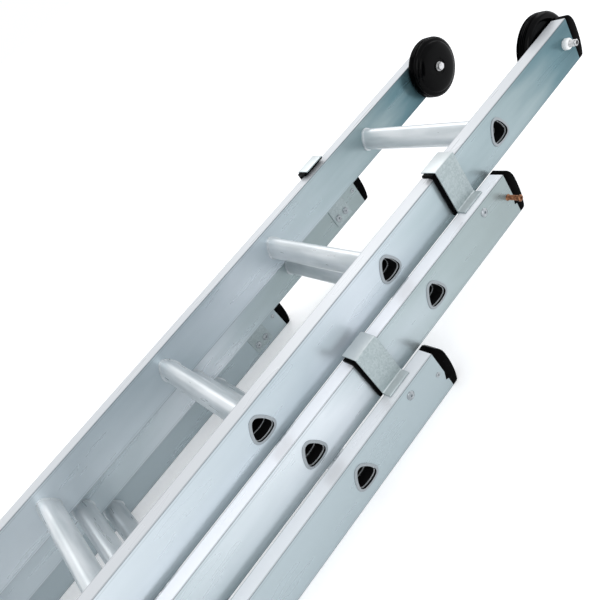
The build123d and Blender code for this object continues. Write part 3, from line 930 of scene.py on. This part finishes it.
def rivetHead(name, place, facing):
    height, radius, hole = rivet["height"], rivet["radius"], rivet["hole"]
    profile = [(0, 0), (0, radius), (0.0004, radius), (height * 0.62, radius * 0.86)]
    profile += [(height * 0.86, radius * 0.62), (height, radius * 0.38)]
    profile += [(height * 0.96, hole + 0.0003)]
    profile += [(height * 0.80, hole), (0.0004, hole * 0.9), (0.0004, 0)]
    piece = turnedPiece(name, profile, place, facing, rivet["steps"])
    smooth(piece, 45)
    return piece


def pinHead(name, place, facing):
    height, radius = pin["height"], pin["radius"]
    profile = [(0, 0), (0, radius), (height * 0.5, radius), (height, radius * 0.85)]
    profile += [(height, pin["dimple"]), (height * 0.3, pin["dimple"] * 0.8), (height * 0.3, 0)]
    piece = turnedPiece(name, profile, place, facing, rivet["steps"])
    smooth(piece, 45)
    return piece


fasteners = {
    "guideDrop": 0.059,
    "guideSpacing": 0.021,
    "guideFromBack": 0.0215,
    "outerDrop": 0.061,
    "outerDepth": 0.0155,
    "pinDrop": 0.0105,
    "pinDepth": 0.0340,
    "footPinRise": 0.020,
    "latchDepth": 0.022,
    "plateSheet": 0.003,
    "latchSpread": 0.0272,
}


def fastenerPieces(name, section):
    made = []
    if name != "top":
        plate = section["inner"] - bracket["sheet"]
        z = section["back"] + fasteners["guideFromBack"]
        for half in (-0.5, 0.5):
            y = section["top"] - fasteners["guideDrop"] + half * fasteners["guideSpacing"]
            made.append(rivetHead("rivet", (plate, y, z), -1))
        y = section["top"] - fasteners["outerDrop"]
        z = section["front"] - fasteners["outerDepth"]
        made.append(rivetHead("rivet", (section["outer"], y, z), 1))
        place = (section["top"] - fasteners["pinDrop"], section["front"] - fasteners["pinDepth"])
        made.append(pinHead("pin", (section["inner"], *place), -1))
        if name == "base":
            made.append(pinHead("pin", (section["outer"], *place), 1))
    if name != "base":
        plateLow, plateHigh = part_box(name + "_latch_plates")
        middleY = (plateLow.y + plateHigh.y) / 2
        z = section["front"] - fasteners["latchDepth"]
        for side in (-1, 1):
            y = middleY + side * fasteners["latchSpread"]
            x = section["inner"] - fasteners["plateSheet"]
            made.append(rivetHead("rivet", (x, y, z), -1))
    if name == "base":
        y = section["bottom"] + fasteners["footPinRise"]
        z = (section["front"] + section["back"]) / 2
        made.append(pinHead("pin", (section["outer"], y, z), 1))
        made.append(pinHead("pin", (section["inner"], y, z), -1))
    return made


for name, section in sections.items():
    right = joinPieces(fastenerPieces(name, section), name + "RivetsRight")
    setFinish(right, rivetMetal)
    left = copyPiece(right, name + "RivetsLeft", mirrored=True)
    pieces = [right, left]
    if name == "middle":
        # the left stile has a pin where the right one has the stop screw
        y = section["top"] - fasteners["pinDrop"]
        z = section["front"] - fasteners["pinDepth"]
        extra = pinHead("middlePinLeft", (-section["outer"], y, z), -1)
        setFinish(extra, rivetMetal)
        pieces.append(extra)
    for piece in pieces:
        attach(piece, name)
        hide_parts(name + "_rivets")
print("rivets made")

# Stop screw: copper-plated, threaded where it stands out of the stile
stopScrew = {
    "radius": 0.0036,
    "thread": 0.0007,
    "crest": 0.0003,
    "threadStart": 0.0025,
    "pitch": 0.0019,
    "seat": 0.001,
    "seatFlange": 0.0006,
    "seatNeck": 0.0012,
    "neck": 0.0006,
    "collar": 0.0004,
    "head": 0.0050,
    "headLength": 0.0040,
    "headStart": 0.0008,
    "headChamfer": (0.0012, 0.0002, 0.0010, 0.0020),
    "hole": 0.0022,
    "holeMouth": 0.0004,
    "holeDepth": 0.0030,
    "holeTaper": 0.8,
}
screwLow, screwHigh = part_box("stop_screw")
section = sections["middle"]
proud = screwHigh.x - section["outer"]
centre = (section["outer"], (screwLow.y + screwHigh.y) / 2, (screwLow.z + screwHigh.z) / 2)
radius, head, hole = stopScrew["radius"], stopScrew["head"], stopScrew["hole"]
profile = [(-stopScrew["seat"], 0), (-stopScrew["seat"], head)]
profile += [(stopScrew["seatFlange"], head), (stopScrew["seatNeck"], radius)]
along = stopScrew["threadStart"]
while along < proud - stopScrew["headLength"] - stopScrew["pitch"]:
    profile += [
        (along, radius - stopScrew["thread"]),
        (along + stopScrew["pitch"] * 0.35, radius + stopScrew["crest"]),
        (along + stopScrew["pitch"] * 0.6, radius + stopScrew["crest"]),
    ]
    along += stopScrew["pitch"]
neck = proud - stopScrew["headLength"]
chamferBack, chamferFront, chamferIn, chamferEnd = stopScrew["headChamfer"]
holeFloor = proud - stopScrew["holeDepth"]
profile += [(neck - stopScrew["neck"], radius - stopScrew["neck"])]
profile += [(neck, radius + stopScrew["collar"]), (neck + stopScrew["headStart"], head)]
profile += [(proud - chamferBack, head), (proud - chamferFront, head - chamferIn)]
profile += [(proud, head - chamferEnd), (proud - stopScrew["holeMouth"], hole)]
profile += [(holeFloor, hole * stopScrew["holeTaper"]), (holeFloor, 0)]
screw = turnedPiece("stopScrewCopper", profile, centre, 1, 40)
smooth(screw, 35)
setFinish(screw, copper)
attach(screw, "middle")
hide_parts("stop_screw")
print("stop screw made")

# Camera
cameraSettings = {
    "fromCorner": (0.6587, -0.8428, 0.4577),  # from the top section's front right corner
    "turn": (48.5946, 33.4540, 47.2643),
    "lens": 38.33,
    "shift": (-0.0124, 0.0541),
}
top = sections["top"]
corner = Vector((top["outer"], top["top"], top["front"]))
bpy.ops.object.camera_add(
    location=corner + Vector(cameraSettings["fromCorner"]),
    rotation=[radians(angle) for angle in cameraSettings["turn"]],
)
camera = bpy.context.object
camera.name = "camera"
camera.data.lens = cameraSettings["lens"]
camera.data.sensor_width = 36
camera.data.shift_x, camera.data.shift_y = cameraSettings["shift"]
scene.camera = camera

# Floor, world and lights
world = bpy.data.worlds.new("softStudio")
world.use_nodes = True
world.node_tree.nodes["Background"].inputs["Color"].default_value = (0.97, 0.985, 1.0, 1)
world.node_tree.nodes["Background"].inputs["Strength"].default_value = 1.03
scene.world = world
scene.view_settings.view_transform = "Standard"

floorMaterial, _, floorShader = newMaterial("paleFloor", (0.86, 0.86, 0.87), 0.8)
floorShader.inputs["Emission Color"].default_value = (1, 1, 1, 1)
floorShader.inputs["Emission Strength"].default_value = 0.22
deselectAll()
bpy.ops.mesh.primitive_plane_add(size=60, location=(0, 0, cadBox[0].z - 0.0002))
floor = bpy.context.object
floor.name = "floor"
applyPlace(floor)
setFinish(floor, floorMaterial)

lights = {
    "overhead": {"place": (-2.6, 2.6, 3.4), "aim": (0, 1.0, 0.1), "size": 3.2, "power": 45},
    "side": {"place": (3.6, 0.2, 2.2), "aim": (0.1, 1.0, 0.1), "size": 2.4, "power": 30},
    "end": {"place": (0.6, 4.6, 1.8), "aim": (0, 1.3, 0.1), "size": 2.0, "power": 15},
}
for name, light in lights.items():
    place = Vector(light["place"])
    bpy.ops.object.light_add(type="AREA", location=place)
    lamp = bpy.context.object
    lamp.name = name + "Light"
    lamp.data.shape = "DISK"
    lamp.data.size = light["size"]
    lamp.data.energy = light["power"]
    lamp.rotation_euler = (Vector(light["aim"]) - place).to_track_quat("-Z", "Y").to_euler()
print("camera, floor and lights set")
